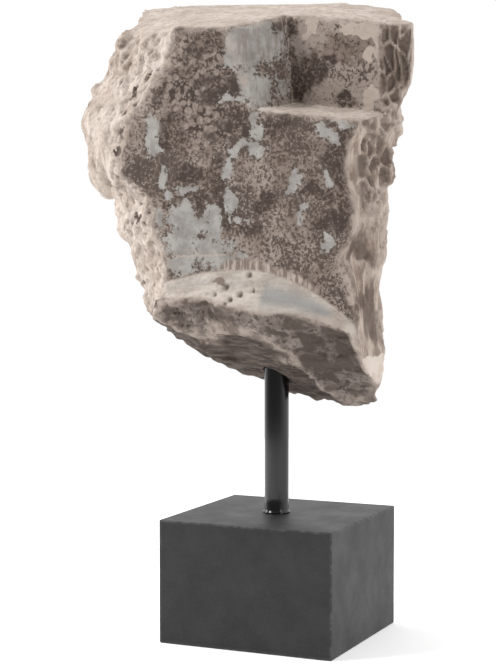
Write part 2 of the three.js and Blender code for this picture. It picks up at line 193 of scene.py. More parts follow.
def features(u, v):
    """Relief of the face, as a height added to its front."""
    side = np.abs(u)
    eye = side - EYE_SPREAD
    down = v - EYE_LINE
    nose_half = along([(NOSE_BASE, 31), (NOSE_BASE + 26, 27), (NOSE_BASE + 50, 20), (BROW, 15)], v)
    nose_rise = along([(NOSE_BASE - 6, 0), (NOSE_BASE + 8, NOSE_REACH - 2), (NOSE_BASE + 22, NOSE_REACH),
                       (EYE_LINE + 4, 9), (BROW + 10, 0)], v)
    brow_line = BROW - 8 + 13 * np.sin(math.pi * np.clip(side - 8, 0, 112) / 112)
    rise = nose_rise * (1 - smoothstep(0.2, 1.2, side / nose_half))
    rise += 11 * bell(side - 26, 9) * bell(v - NOSE_BASE - 13, 12)
    rise -= 3 * bell(side - 36, 5) * bell(v - NOSE_BASE - 14, 16)
    rise += 9 * bell(v - brow_line, 11) * smoothstep(6, 24, side) * (1 - smoothstep(92, 122, side))
    rise -= 19 * bell(eye, 35) * bell(down - 8, 17)
    rise -= 9 * bell(side - 29, 12) * bell(down - 8, 15)
    rise += 15 * np.sqrt(np.clip(1 - (eye / 38) ** 2 - (down / 26) ** 2, 0, 1))
    arch = np.sqrt(np.clip(1 - (eye / 31) ** 2, 0, 1))
    open_eye = smoothstep(-1.5, 1.5, 13 * arch - down) * smoothstep(-1.5, 1.5, down + 9 * arch)
    rise -= 4.5 * open_eye * smoothstep(0, 0.3, arch)
    rise += 2.6 * bell(down - 15 * arch, 3) * smoothstep(0, 0.5, arch)
    rise += 1.6 * bell(down + 12 * arch, 2.6) * smoothstep(0, 0.5, arch)
    rise -= 2.4 * bell(down - 22 * arch - 1, 3) * smoothstep(0, 0.5, arch)
    rise += 9 * bell(side - 86, 30) * bell(down + 46, 26)
    rise -= 6 * bell(side - 84, 28) * bell(v - MOUTH_LINE - 12, 34)
    fold = side - 34 - 0.45 * (NOSE_BASE + 12 - v)
    rise -= 2.4 * bell(fold, 5) * smoothstep(70, 92, v) * (1 - smoothstep(128, 146, v))
    rise += 6 * bell(u, 44) * bell(v - MOUTH_LINE, 27)
    rise -= 2.4 * bell(u, 5) * bell(v - MOUTH_LINE - 27, 10)
    mouth = np.clip(1 - (u / MOUTH_HALF) ** 2, 0, 1)
    rise += 7 * mouth ** 0.7 * bell(v - MOUTH_LINE - 9 - 3 * bell(side - 10, 8) + 2 * bell(u, 5), 6)
    rise += 8.5 * mouth ** 0.8 * bell(v - MOUTH_LINE + 10, 7)
    lips = 1 - smoothstep(0.8, 1.1, side / MOUTH_HALF)
    rise -= 6 * lips * bell(v - MOUTH_LINE - 1.5 * bell(u, 9) + 2 * (side / MOUTH_HALF) ** 2, 2.6)
    rise -= 4 * bell(side - MOUTH_HALF, 7) * bell(v - MOUTH_LINE + 1, 7)
    rise -= 7 * bell(u, 34) * bell(v - MOUTH_LINE + 29, 9)
    rise += 10 * bell(u, 30) * bell(v - 28, 19)
    return rise


def hair(u, v, w):
    """Curved locks: a fringe over the forehead and locks before the ear."""
    arc = np.arctan2(np.abs(u), w) * 135
    line = along([(0, FRINGE_LINE), (115, FRINGE_LINE - 4), (160, BROW - 50), (200, NOSE_BASE + 10),
                  (235, NOSE_BASE - 20)], arc)
    above = np.clip(v - line, -20, 60)
    phase = (np.sign(u) * arc + 0.35 * above + 0.006 * above ** 2) / LOCK_WIDTH + 0.25
    lock = np.abs(np.sin(math.pi * phase))
    strand = np.abs(np.sin(4 * math.pi * phase + 0.05 * above))
    over = smoothstep(0, 12, above + 12 * lock)
    return over * (4 + 8 * lock ** 0.7 + 1.6 * strand)


def ear(u, v, w):
    back = w - EAR_W
    high = v - EAR_V
    around = np.sqrt((back / 29) ** 2 + (high / 58) ** 2)
    shell = ellipsoid(u, v, w, (160, EAR_V, EAR_W), (34, 66, 44))
    edge = EAR_REACH - 0.22 * back + 0.1 * high - 0.008 * np.maximum(0, high) ** 2
    rim = np.sqrt(((around - 1) * 36) ** 2 + (u - edge) ** 2) - 7.5
    hollow = ellipsoid(u, v, w, (EAR_REACH + 8, EAR_V - 4, EAR_W + 4), (24, 38, 18))
    inset = 8 * smoothstep(8, 30, back)
    inner = np.sqrt(((around - 0.62) * 36) ** 2 + (u - edge + 7) ** 2 + inset ** 2) - 4.5
    lobe = ellipsoid(u, v, w, (171, EAR_V - 56, EAR_W - 4), (15, 17, 17))
    flap = ellipsoid(u, v, w, (168, EAR_V - 12, EAR_W + 27), (15, 13, 8))
    shape = blend(cut(blend(shell, rim, 5), -hollow, 5), inner, 4)
    return blend(blend(shape, lobe, 6), flap, 5)


def carved(x, y, z):
    """The whole head and neck as it was carved, negative inside."""
    c, s = math.cos(TILT), math.sin(TILT)
    u = (x - CHIN_X) * c - (z - CHIN_Z) * s
    v = (x - CHIN_X) * s + (z - CHIN_Z) * c
    w = -y
    mass = oval(u, w + AXIS_Y, along(HALF_WIDTH, v), along(FRONT_DEPTH, v) + AXIS_Y, BACK_DEPTH,
                along(SQUARENESS, v))
    jaw = cut(mass, JAW_SLOPE * (96 - w) - v, 14)
    neck = oval(u - 1, w + 20, along(NECK_HALF, v), 72 + 0.12 * v, BACK_DEPTH, 2.2)
    surface = blend(jaw, neck, 16) - smoothstep(10, 60, w) * features(u, v) - hair(u, v, w)
    surface = blend(surface, ellipsoid(u, v, w, (-158, 264, -24), (30, 80, 45)), 14)
    surface = blend(surface, ear(u, v, w), 8)
    surface = blend(surface, ellipsoid(u, v, w, (141, 114, -10), (26, 32, 36)), 8)
    surface = blend(surface, ellipsoid(u, v, w, (129, 72, -14), (22, 38, 32)), 10)
    nostril = ellipsoid(np.abs(u), v, w, (15, NOSE_BASE - 3, 138), (7, 8, 10))
    return cut(surface, -nostril, 3)


def lip_ridge(x):
    return LIP_RIDGE_Z - np.where(x > LIP_CREST_X, 0.0018, 0.0037) * (x - LIP_CREST_X) ** 2


def cuts(x, y, z):
    """The saw cuts and breaks, each negative inside the stone and about a distance in millimetres."""
    ridge = lip_ridge(x)
    below = ridge - z
    lip_low = along(LIP_EDGE, x)
    down = np.clip(below / (ridge - lip_low), 0, 1)
    sunk = (1 + 2.5 * (1 - smoothstep(-20, -8, x))) * np.sin(math.pi * down ** 0.8)
    reverse = y - BACK_Y - LIP_SLOPE * 0.5 * (below + np.sqrt(below ** 2 + 9)) + sunk
    slant = BACK_Y - along(FLANK_SLOPE, z) * (x - along(FLANK_EDGE, z))
    flank = (y - slant + 2.6 * np.maximum(0, x - along(FLANK_TURN, z))) / 1.3
    depth = BACK_Y - y
    rise = (0.285 + 0.0003 * np.maximum(0, x - 20)) * depth - 0.00035 * depth * depth
    left = 0.22 * np.maximum(0, x - 90) * smoothstep(-60, 60, y)
    right = 0.1 * np.maximum(0, -x - 16) + 0.0004 * np.maximum(0, -x - 20) ** 2
    top = z - TOP_Z - rise + left + right
    high = smoothstep(505, 545, z)
    start = BACK_Y + (STEP_BACK_Y - BACK_Y) * high
    turn = smoothstep(0, 1, (start - y) / (72 - 50 * high))
    edge, far = along(RIGHT_EDGE, z), along(RIGHT_REACH, z)
    side = -x - edge - (far - edge) * turn
    lip_y = BACK_Y + LIP_SLOPE * np.maximum(0, ridge - lip_low)
    facet = (lip_low - along(FACET_SLOPE, x) * (lip_y - y) - z) / 1.5
    share = 0.55 + 0.45 * smoothstep(-62, -36, x) - 0.32 * smoothstep(30, 82, x)
    strata = (along(UNDER_FAR, x) + 84 * share * (np.maximum(0, y + 50) / 145) ** 1.15 - z) / 1.2
    t = np.clip((BACK_Y - y) / 55, -0.4, 1)
    wall_x = STEP_MOUTH_X - 45 * t + 26 * t * t
    wall_x = wall_x + STEP_FLARE * (z - STEP_FLOOR_Z) * np.maximum(0, wall_x - STEP_CORNER_X) / 19
    wall_x = wall_x + 0.08 * (z - STEP_FLOOR_Z) - 4
    floor_z = STEP_FLOOR_Z + 0.12 * (x - STEP_CORNER_X) - 0.17 * (y - STEP_BACK_Y)
    wall, back, floor = (wall_x - x) / 1.3, y - STEP_BACK_Y, z - floor_z
    step = cut(cut(-wall, -back, 6), -floor, 5)
    return {"reverse": reverse, "flank": flank, "top": top, "side": side, "facet": facet, "strata": strata,
            "step": -step, "wall": wall, "step_back": back, "step_floor": floor}


def stone_field(x, y, z):
    c = cuts(x, y, z)
    step = cut(c["reverse"], c["step"], 10 * smoothstep(-8, 24, x) + 2.5)
    f = cut(carved(x, y, z), step, 1.5)
    under = cut(c["facet"], c["strata"], 4)
    for other, radius in ((c["flank"], 3), (c["top"], 2.5), (c["side"], 3), (under, 2.5)):
        f = cut(f, other, radius)
    hole = np.maximum(np.sqrt((x - ROD_X) ** 2 + y ** 2) - ROD_HOLE, z - ROD_TOP)
    return np.maximum(f, -hole)


def fracture(p):
    """Irregularity of the broken surfaces, as a height taken off in millimetres."""
    c = cuts(*p.T)
    x, y, z = p.T
    slope = np.stack([0.8 * x - 0.6 * z, y, 0.6 * x + 0.8 * z], 1)
    rock = 2.8 * rough(p, 26, 4, 1, gain=0.55) + 1.8 * noise(slope, 8, 2, (2.6, 1.5, 1))
    ledges = 2.0 * rough(p, 30, 3, 5) + 1.6 * noise(p, 5, 1, (7, 3, 1))
    calm = 1 - 0.75 * smoothstep(148, 180, x) * smoothstep(575, 555, z)
    rock = calm * (rock + 1) + (1 - calm) * 2.6 * noise(p, 27, 4)
    out = bell(np.minimum(c["flank"], 0), 8) * rock
    out += bell(np.minimum(c["side"], 0), 8) * 2.2 * rough(p, 24, 3, 3, (1, 1, 1.5))
    under = np.maximum(c["facet"], c["strata"])
    out += bell(np.minimum(under, 0), 7) * ledges
    out += bell(np.minimum(c["top"], 0), 5) * 0.5 * rough(p, 30, 2, 11)
    return out


def worn_field(x, y, z):
    """The stone's field with the irregular breaks, worked out only near the surface."""
    f = stone_field(x, y, z)
    near = np.abs(f) < 9
    p = np.stack([x[near], y[near], z[near]], 1)
    away = smoothstep(ROD_HOLE + 2, ROD_HOLE + 9, np.hypot(p[:, 0] - ROD_X, p[:, 1]))
    f[near] += fracture(p) * away
    return f


def spread(q):
    """Millimetres for a place in the grid, whose cells grow towards the hidden front."""
    ahead = np.maximum(0, -q[1])
    size = 1 + 2 * GROWTH * ahead
    return q[0] * size, q[1] - GROWTH * ahead ** 2, (q[2] - 440) * size + 440


def surface_net(low, high):
    """Vertices and quads of the stone's surface on a grid whose cells start from CELL."""
    axes = [np.arange(a, b + CELL, CELL, dtype=np.float32) for a, b in zip(low, high)]
    field = np.empty([len(a) for a in axes], np.float32)
    for k in range(0, len(axes[2]), 16):
        block = np.meshgrid(axes[0], axes[1], axes[2][k:k + 16], indexing="ij")
        field[:, :, k:k + 16] = worn_field(*spread(block))
    inside = field < 0
    wide, deep, tall = (length - 1 for length in field.shape)
    count = sum(inside[i:i + wide, j:j + deep, k:k + tall].astype(np.int8)
                for i, j, k in itertools.product((0, 1), repeat=3))
    mixed = (count > 0) & (count < 8)
    where = np.argwhere(mixed)
    number = np.full(mixed.shape, -1, np.int32)
    number[mixed] = np.arange(len(where))
    corners = list(itertools.product((0, 1), repeat=3))
    values = np.stack([field[tuple((where + c).T)] for c in corners], 1)
    total, hits = np.zeros((len(where), 3), np.float32), np.zeros(len(where), np.float32)
    for a, b in itertools.combinations(range(8), 2):
        ca, cb = np.array(corners[a]), np.array(corners[b])
        if np.abs(ca - cb).sum() != 1:
            continue
        fa, fb = values[:, a], values[:, b]
        crossed = (fa < 0) != (fb < 0)
        t = np.where(crossed, fa / np.where(crossed, fa - fb, 1), 0)
        total += crossed[:, None] * (ca + t[:, None] * (cb - ca))
        hits += crossed
    vertices = np.array([a[0] for a in axes], np.float32) + (where + total / hits[:, None]) * CELL
    quads = []
    for axis in range(3):
        one, two = (axis + 1) % 3, (axis + 2) % 3
        ahead = np.zeros(3, int)
        ahead[axis] = 1
        cut_from = [slice(1, n - 1) for n in field.shape]
        cut_from[axis] = slice(0, field.shape[axis] - 1)
        a = inside[tuple(cut_from)]
        cut_to = list(cut_from)
        cut_to[axis] = slice(1, field.shape[axis])
        b = inside[tuple(cut_to)]
        edges = np.argwhere(a != b)
        start = edges + np.array([s.start for s in cut_from])
        outward = a[tuple(edges.T)]
        ring = []
        for i, j in ((-1, -1), (0, -1), (0, 0), (-1, 0)):
            shift = np.zeros(3, int)
            shift[one], shift[two] = i, j
            ring.append(number[tuple((start + shift).T)])
        ring = np.stack(ring, 1)
        ring[~outward] = ring[~outward][:, ::-1]
        quads.append(ring)
    return np.stack(spread(vertices.T), 1), np.concatenate(quads)


def gradient(p):
    h = np.float32(0.5)
    f = worn_field(*p.T)
    slope = np.empty_like(p)
    for axis in range(3):
        moved = p.copy()
        moved[:, axis] += h
        slope[:, axis] = (worn_field(*moved.T) - f) / h
    return f, slope


def vertex_normals(p, quads):
    a, b, c, d = (p[quads[:, k]] for k in range(4))
    face = np.cross(c - a, d - b)
    n = np.zeros_like(p)
    for k in range(4):
        for axis in range(3):
            n[:, axis] += np.bincount(quads[:, k], face[:, axis], len(p))
    return n / np.maximum(np.linalg.norm(n, axis=1, keepdims=True), 1e-9)


def zones(p):
    """How much each point belongs to each kind of surface, from 0 to 1, and how near it is to an edge."""
    c = cuts(*p.T)
    names = ("reverse", "flank", "top", "side", "facet", "strata", "step")
    fields = {"skin": carved(*p.T), **{k: c[k] for k in names}}
    stack = np.stack(list(fields.values()), 1)
    weight = np.exp(np.clip(stack - stack.max(1, keepdims=True), -20, 0) / 1.2)
    weight /= weight.sum(1, keepdims=True)
    edge = smoothstep(-8, 0, np.sort(stack, 1)[:, -2])
    zone = dict(zip(fields, weight.T))
    nearest = np.stack([np.abs(c[k]) for k in ("wall", "step_back", "step_floor")], 1).argmin(1)
    for k, name in enumerate(("wall", "step_back", "step_floor")):
        zone[name] = zone["step"] * (nearest == k)
    zone["lip"] = zone["reverse"] * smoothstep(-2, 2, lip_ridge(p[:, 0]) - p[:, 2])
    zone["plane"] = zone["reverse"] - zone["lip"]
    zone["under"] = zone["facet"] + zone["strata"]
    zone["edge"] = edge
    return zone


# Marks on the reverse: x, z, half width, half height and tilt in degrees, in millimetres
GREY_MARKS = [(6, 600, 20, 34, 0), (2, 560, 14, 26, 0), (112, 517, 9, 11, 0), (108, 502, 8, 13, -10),
              (99, 492, 3, 6, 0), (21, 587, 10, 12, 0),
              (18, 545, 14, 5, 10), (-5, 514, 8, 12, 0), (-6, 495, 11, 8, 0), (-74, 515, 8, 9, 0),
              (-85, 507, 11, 6, 20), (-99, 519, 10, 4, 0), (-113, 518, 8, 4, 0), (-47, 465, 5, 11, 0),
              (-55, 431, 5, 7, 0), (-82, 470, 3, 6, 0), (-80, 405, 10, 6, 0), (95, 471, 5, 10, 0),
              (91, 449, 6, 7, 0), (70, 449, 8, 5, 0), (68, 421, 26, 13, 0), (43, 423, 12, 14, 0),
              (81, 403, 21, 13, 0), (49, 395, 22, 12, 0), (79, 381, 22, 10, 0), (35, 383, 27, 6, 0),
              (21, 441, 4, 13, 0), (10, 429, 4, 6, 0), (19, 476, 5, 13, 0), (13, 496, 13, 5, 0),
              (105, 430, 4, 13, -20)]
DARK_MARKS = [(88, 440, 12, 8, 0), (70, 440, 4, 6, 0), (53, 442, 9, 8, 0), (23, 572, 11, 5, 0),
              (23, 557, 11, 10, -20), (40, 553, 9, 10, 0), (17, 521, 15, 10, 0), (5, 508, 5, 7, 0),
              (68, 468, 15, 10, 0), (43, 466, 22, 12, 0), (106, 557, 9, 9, 0), (132, 547, 7, 8, 0),
              (81, 516, 14, 16, -20), (95, 502, 6, 10, 0), (-19, 520, 9, 9, 0), (-33, 514, 6, 14, 0),
              (-94, 491, 12, 25, 0), (-97, 458, 12, 28, 0), (-92, 429, 13, 16, 0), (-70, 450, 16, 13, 0),
              (-74, 420, 11, 10, 0), (26, 430, 8, 18, 10), (2, 413, 15, 10, 0), (-13, 439, 10, 9, 0),
              (-80, 492, 10, 8, 0), (-95, 512, 9, 6, 0), (51, 597, 22, 12, 0), (73, 573, 13, 8, 0)]
CRUST_MARKS = [(62, 581, 35, 36, 0), (75, 542, 44, 34, 0), (51, 512, 24, 16, 0), (28, 603, 13, 12, 0)]
# Dark marks on the step's back wall: the first three, down its corner, are patina with painted shade in the
# corner; the rest are patina
STEP_PATINA_AND_CORNER_SHADE = [(-14, 614, 6, 24, 8), (-15, 582, 12, 32, 5), (-24, 552, 14, 13, 30), (-41, 572, 14, 22, 0),
             (-60, 583, 11, 6, 0), (-76, 543, 14, 6, 0), (-104, 566, 5, 8, 0)]
FLANK_DARK = [(137, 507, 11, 8, 0), (144, 494, 10, 9, 0), (141, 479, 14, 4, 0), (126, 495, 8, 9, 0),
              (136, 555, 9, 3, -25), (117, 568, 8, 3, -30), (103, 339, 9, 6, 0), (140, 428, 7, 9, 0)]
STEP_PALE = [(-60, 624, 50, 5, 8), (-88, 612, 30, 5, 8), (-112, 600, 5, 22, 0), (-104, 545, 7, 12, 0),
             (-100, 586, 5, 9, 0), (-40, 612, 5, 12, 30)]
CREASE = [(207, 488), (200, 474), (186, 463), (172, 457), (156, 458)]
RIDGES = [[(-105, 428), (-99, 415), (-93, 408), (-92, 380), (-90, 362)],
          [(-101, 396), (-102, 382), (-106, 368)], [(-95, 384), (-99, 366), (-104, 352)]]
UNDER_DARK = [(-51, 322, 20, 6, 0), (-29, 311, 11, 6, 0), (-92, 318, 15, 9, -20), (-61, 286, 15, 12, 0),
              (-59, 309, 9, 8, 0), (-66, 271, 17, 10, -20), (-91, 284, 13, 14, 0), (-94, 300, 15, 8, 0),
              (-81, 250, 9, 6, 0), (79, 322, 15, 5, 0), (29, 332, 14, 6, 0), (45, 345, 13, 4, 10)]
LIP_HOLES = [(2, 371, 3.2), (24, 359, 3), (7, 352, 3), (16, 347, 2.6), (35, 352, 2.2), (21, 343, 2),
             (-6, 356, 2)]


def marks(points, across, up):
    """Strength of painted marks: over 0.5 inside them, 1 at their middles."""
    value = np.zeros(len(across), np.float32)
    for x, z, wide, tall, tilt in points:
        c, s = math.cos(math.radians(tilt)), math.sin(math.radians(tilt))
        dx, dz = across - x, up - z
        q = np.hypot((dx * c + dz * s) / wide, (dz * c - dx * s) / tall)
        value = np.maximum(value, 1 - 0.5 * q)
    return value


def groove(points, across, up, width):
    """1 on a line through points of x and z, falling to 0 beside it."""
    best = np.full(len(across), 1e6, np.float32)
    for (ax, az), (bx, bz) in zip(points, points[1:]):
        length = (bx - ax) ** 2 + (bz - az) ** 2
        t = np.clip(((across - ax) * (bx - ax) + (up - az) * (bz - az)) / length, 0, 1)
        best = np.minimum(best, np.hypot(across - ax - t * (bx - ax), up - az - t * (bz - az)))
    return bell(best, width)


def paint_marks(p, zone):
    x, y, z = p.T
    ragged = 0.1 * rough(p, 20, 4, 20, gain=0.65)
    sx = x + 5 * rough(p, 16, 3, 30, gain=0.6)
    sz = z + 5 * rough(p, 16, 3, 31, gain=0.6)
    back = np.clip(zone["plane"] + zone["wall"] + zone["step_floor"], 0, 1)
    grey = marks(GREY_MARKS, sx, sz) * back
    dark = marks(DARK_MARKS, sx, sz) * back
    dark = np.maximum(dark, marks(STEP_PATINA_AND_CORNER_SHADE, sx, sz) * zone["step_back"])
    # Patina with painted shade down the wall's edge at the corner of the step
    dark = np.maximum(dark, marks([(-8, 612, 4, 26, -8)], x, z) * zone["wall"])
    dark = np.maximum(dark, marks(FLANK_DARK, sx, sz) * zone["flank"])
    dark = np.maximum(dark, marks(UNDER_DARK, sx, sz) * zone["under"])
    dark = np.maximum(dark, marks([(33, 362, 8, 6, 0)], sx, sz) * zone["lip"] * 0.9)
    crust = marks(CRUST_MARKS, sx, sz) * zone["plane"]
    crust = np.maximum(crust, marks([(-78, 597, 34, 22, 0)], sx, sz) * zone["step_back"])
    pale = marks(STEP_PALE, sx, sz) * zone["step_back"]
    above = z - lip_ridge(x)
    # Painted highlight: a pale band along the crest of the lip, on the reverse just above the ridge
    crest_highlight = 0.75 * bell(above - 2, 9) * smoothstep(-100, -60, x) * (1 - smoothstep(30, 60, x))
    pale = np.maximum(pale, zone["plane"] * (crest_highlight + 0.3 * bell(above - 10, 12) * bell(x - 2, 24)))
    pale = np.maximum(pale, zone["step_floor"])
    pale = np.maximum(pale, 0.8 * zone["side"] * smoothstep(300, 285, z))
    # Share of the way down the lip, kept to its pale ends and its grey middle
    down = np.clip(-above / np.maximum(lip_ridge(x) - along(LIP_EDGE, x), 5), 0, 1)
    slate = bell(down - 0.55, 0.3) * smoothstep(-90, -78, x) * (1 - smoothstep(-18, -12, x))
    zone["slate"] = zone["lip"] * np.maximum(slate, 0.35 * smoothstep(-12, 20, x) * bell(down - 0.3, 0.2))
    zone["scratch"] = zone["plane"] * smoothstep(15, 40, x) * smoothstep(405, 390, z)
    return {"grey": grey + ragged, "dark": dark + ragged, "crust": crust + ragged, "pale": pale + ragged}


def relief(p, zone):
    """Fine height in millimetres added along the surface's normal."""
    x, y, z = p.T
    edge = zone["edge"]
    diagonal = np.stack([0.8 * x - 0.6 * z, y, 0.6 * x + 0.8 * z], 1)
    calm = 1 - 0.6 * smoothstep(148, 180, x) * smoothstep(575, 555, z)
    near, second, tag = cells(diagonal, 9, (2, 1, 1), seed=1)
    pits = calm * np.clip(0.36 - near, 0, 1) * (tag > 0.55)
    near, second, tag = cells(diagonal, 5.5, (1.7, 1, 1), seed=4)
    nicks = calm * np.clip(0.36 - near, 0, 1) * (tag > 0.6)
    grit = calm * (1.3 * noise(diagonal, 4.5, 2, (3.5, 1.5, 1)) + 1.0 * rough(p, 6, 2, 6))
    d = zone["flank"] * (grit - 9 * pits - 5 * nicks)
    d -= (zone["flank"] + zone["skin"]) * 3.5 * groove(CREASE, x, z, 2.2) * smoothstep(-10, 5, y)
    high = smoothstep(505, 545, z)
    wide = np.stack([x, y * (0.5 + 0.5 * high), z], 1)
    wide = wide + 3 * np.stack([noise(p, 24, 1), noise(p, 24, 2), noise(p, 30, 3)], 1)
    near, second, tag = cells(wide, 10, (1, 1, 2.3), seed=2)
    scallop = smoothstep(0.03, 0.24, second - near)
    low = smoothstep(425, 400, z)
    outer = smoothstep(8, 24, BACK_Y - y + 50 * high) * (1 - low)
    d += zone["side"] * outer * (2.2 - 4.2 * scallop + 0.5 * rough(p, 5, 2, 3))
    d += zone["side"] * (1 - outer) * 1.3 * rough(p, 5, 2, 4, (1, 1, 5))
    ridges = np.zeros(len(p), np.float32)
    for line in RIDGES:
        ridges = np.maximum(ridges, groove(line, x + 0.25 * (BACK_Y - y), z, 1.6))
    d += (zone["side"] + zone["plane"]) * 2 * ridges
    d += zone["strata"] * (0.9 * noise(p, 4, 1, (9, 5, 0.8)) + 0.5 * rough(p, 6, 2, 6))
    d += zone["facet"] * (0.8 * rough(p, 8, 3, 8) + smoothstep(10, 40, x) * 2.6 * rough(p, 10, 2, 9))
    d += zone["plane"] * (0.5 * rough(p, 34, 2, 7) + 0.5 * rough(p, 5, 2, 8))
    holes = np.zeros(len(p), np.float32)
    for hx, hz, r in LIP_HOLES:
        holes = np.maximum(holes, 1 - smoothstep(0.3, 1.3, np.hypot(x - hx, z - hz) / r))
    d += zone["lip"] * (0.6 * rough(p, 18, 3, 9) + 0.4 * noise(p, 3.5, 1, (5, 3, 1)) - 3.5 * holes)
    d += zone["step"] * 0.35 * rough(p, 16, 3, 10)
    d += zone["top"] * (0.3 * rough(p, 30, 2, 11) + 0.4 * rough(p, 4, 2, 12, (8, 1, 1)))
    d += zone["skin"] * (0.35 * rough(p, 22, 3, 13))
    chips = np.clip(rough(p, 13, 3, 14) - 0.1, 0, 1)
    d -= 2.6 * edge * chips
    brown = low * smoothstep(0.1, 0.5, rough(p, 14, 3, 17, (1, 1, 3)) + 0.55)
    # Dark colour for the right side: in the hollows of the scallops, patina and painted shade together; lower
    # down, brown streaks of patina
    ovals = np.clip(scallop * outer + brown * smoothstep(290, 310, z), 0, 1)
    zone["scallop"] = zone["side"] * ovals * (1 - ridges)
    # Painted shade in the hollows: the flank's pits and nicks, the holes in the lip and the crease, all of
    # them also carved in
    zone["hollow"] = np.clip(zone["flank"] * (pits * 5 + nicks * 4 - 0.25 * grit) + zone["lip"] * holes, 0, 1)
    zone["hollow"] = np.maximum(zone["hollow"], 0.7 * zone["flank"] * groove(CREASE, x, z, 1.6))
    return d


def main_body(points, quads):
    """The vertices and quads of the largest connected surface."""
    label = np.arange(len(points))
    while True:
        least = label[quads].min(1)
        new = label.copy()
        for k in range(4):
            np.minimum.at(new, quads[:, k], least)
        new = new[new]
        if np.array_equal(new, label):
            break
        label = new
    keep = label == np.bincount(label).argmax()
    index = np.cumsum(keep) - 1
    return points[keep], index[quads[keep[quads[:, 0]]]]


def build_stone():
    low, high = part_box("bust_fragment")
    low, high = np.array(low) * 1000, np.array(high) * 1000
    points, quads = main_body(*surface_net(low - 3 * CELL, high + 2 * CELL))
    for _ in range(2):
        f, slope = gradient(points)
        points = points - slope * (f / np.maximum((slope ** 2).sum(1), 0.2))[:, None].clip(-2, 2)
    zone = zones(points)
    normals = vertex_normals(points, quads)
    height = relief(points, zone)
    away = smoothstep(ROD_HOLE + 2, ROD_HOLE + 9, np.hypot(points[:, 0] - ROD_X, points[:, 1]))
    points = points + normals * (height * away)[:, None]
    points = np.clip(points, low + 0.2, high - 0.2)
    mesh = bpy.data.meshes.new("stone")
    mesh.from_pydata((points / 1000).tolist(), [], quads.tolist())
    mesh.polygons.foreach_set("use_smooth", np.ones(len(quads), bool))
    zone.update(paint_marks(points, zone))
    names = {
        "zone_a": ("plane", "flank", "facet", "side"),
        "zone_b": ("lip", "wall", "step_back", "top"),
        "zone_c": ("strata", "hollow", "scallop", "edge"),
        "marks": ("grey", "dark", "crust", "pale"),
        "tints": ("slate", "scratch", "skin", "step_floor"),
    }
    for attribute, channels in names.items():
        layer = mesh.attributes.new(attribute, "FLOAT_COLOR", "POINT")
        colour = np.stack([np.clip(zone[c], 0, 1) for c in channels], 1).astype(np.float32)
        layer.data.foreach_set("color", colour.ravel())
    mesh.update()
    stone = bpy.data.objects.new("carved_stone", mesh)
    scene.collection.objects.link(stone)
    print("stone", len(points), "vertices", 2 * len(quads), "triangles")
    return stone


class Shader:
    """Small helper that adds nodes to one material and links or sets their inputs."""

    def __init__(self, name):
        self.material = bpy.data.materials.new(name)
        self.material.use_nodes = True
        self.tree = self.material.node_tree
        self.surface = self.tree.nodes["Principled BSDF"]

    def put(self, socket, value):
        if isinstance(value, bpy.types.NodeSocket):
            self.tree.links.new(value, socket)
        elif isinstance(value, (tuple, list)) and len(value) == 3 and len(socket.default_value) == 4:
            socket.default_value = (*value, 1)
        else:
            socket.default_value = value

    def node(self, kind, output=0, inputs=(), **settings):
        n = self.tree.nodes.new(kind)
        for key, value in settings.items():
            setattr(n, key, value)
        for key, value in dict(inputs).items():
            self.put(n.inputs[key], value)
        return n.outputs[output]

    def place(self, scale=(1, 1, 1), shift=None):
        """Object coordinates, stretched, and pushed about by a vector where one is given."""
        at = self.node("ShaderNodeTexCoord", "Object")
        if shift is not None:
            at = self.node("ShaderNodeVectorMath", inputs={0: at, 1: shift}, operation="ADD")
        return self.node("ShaderNodeMapping", inputs={"Vector": at, "Scale": scale})

    def noise(self, scale, detail=4, rough=0.55, at=None, warp=0.0, output=0):
        at = at or self.place()
        return self.node("ShaderNodeTexNoise", output, inputs={
            "Vector": at, "Scale": scale, "Detail": detail, "Roughness": rough, "Distortion": warp})

    def cells(self, scale, feature="F1", at=None, output=0, jitter=1.0):
        at = at or self.place()
        return self.node("ShaderNodeTexVoronoi", output, feature=feature,
                         inputs={"Vector": at, "Scale": scale, "Randomness": jitter})

    def math(self, operation, a, b=0.0, clamp=False):
        return self.node("ShaderNodeMath", inputs={0: a, 1: b}, operation=operation, use_clamp=clamp)

    def ramp(self, value, low, high, to_low=0.0, to_high=1.0):
        return self.node("ShaderNodeMapRange", interpolation_type="SMOOTHSTEP", inputs={
            "Value": value, "From Min": low, "From Max": high, "To Min": to_low, "To Max": to_high})

    def mix(self, factor, a, b, mode="MIX"):
        n = self.tree.nodes.new("ShaderNodeMix")
        n.data_type = "RGBA"
        n.blend_type = mode
        self.put(n.inputs["Factor"], factor)
        self.put(n.inputs[6], a)
        self.put(n.inputs[7], b)
        return n.outputs[2]

    def channels(self, attribute):
        """The four channels of a colour attribute of the mesh."""
        colour = self.tree.nodes.new("ShaderNodeAttribute")
        colour.attribute_name = attribute
        split = self.node("ShaderNodeSeparateColor", inputs={0: colour.outputs["Color"]})
        parts = split.node.outputs
        return parts[0], parts[1], parts[2], colour.outputs["Alpha"]

    def bump(self, height, distance, strength=1.0, normal=None):
        inputs = {"Height": height, "Distance": distance, "Strength": strength}
        if normal is not None:
            inputs["Normal"] = normal
        return self.node("ShaderNodeBump", inputs=inputs)

    def finish(self, **inputs):
        for key, value in inputs.items():
            self.put(self.surface.inputs[key.replace("_", " ")], value)
        return self.material


